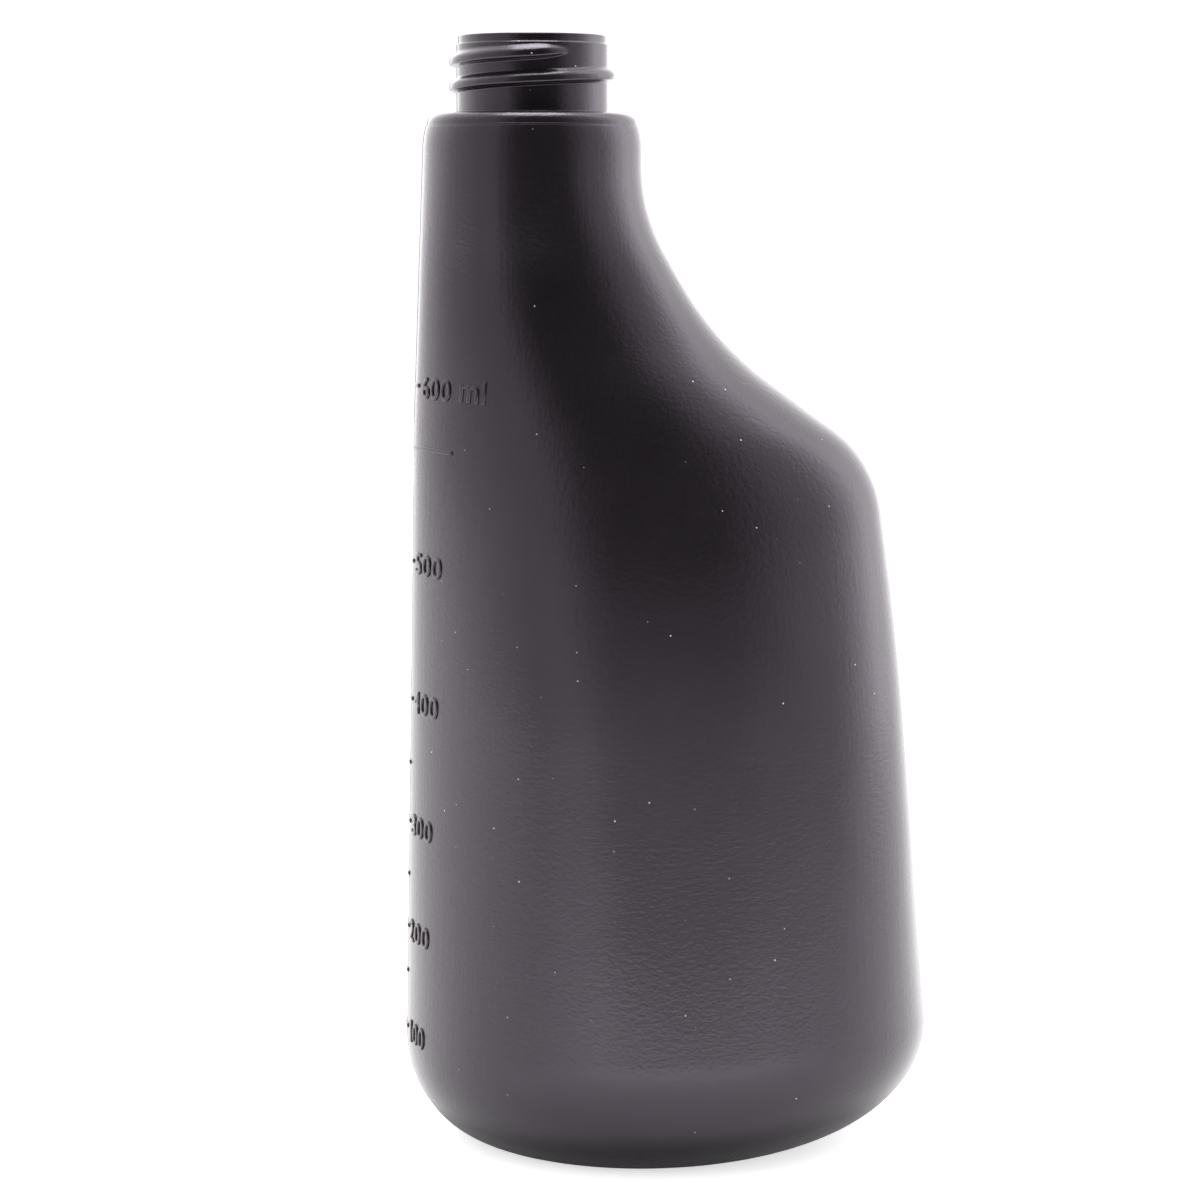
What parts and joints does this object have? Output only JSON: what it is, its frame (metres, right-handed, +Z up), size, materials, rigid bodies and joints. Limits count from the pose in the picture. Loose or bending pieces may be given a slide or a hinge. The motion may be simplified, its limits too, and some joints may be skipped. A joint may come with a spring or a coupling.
{
  "type": "spray bottle",
  "caption": "Open blow-moulded bottle for a trigger sprayer: body narrow in front and full at the back, back shoulder sloping to a round grip, threaded neck set to the front, raised volume scale.",
  "frame": {"origin": "middle of the body's outline on the standing plane", "axes": "+X from the front wall with the scale to the back, +Y to one side, +Z up through the neck"},
  "size_m": [0.0886, 0.0876, 0.1862],
  "materials": {
    "bottle": "satin black polyethylene with a fine moulded texture"
  },
  "bodies": {
    "root": {"bottle": "bottle"}
  },
  "joints": []
}
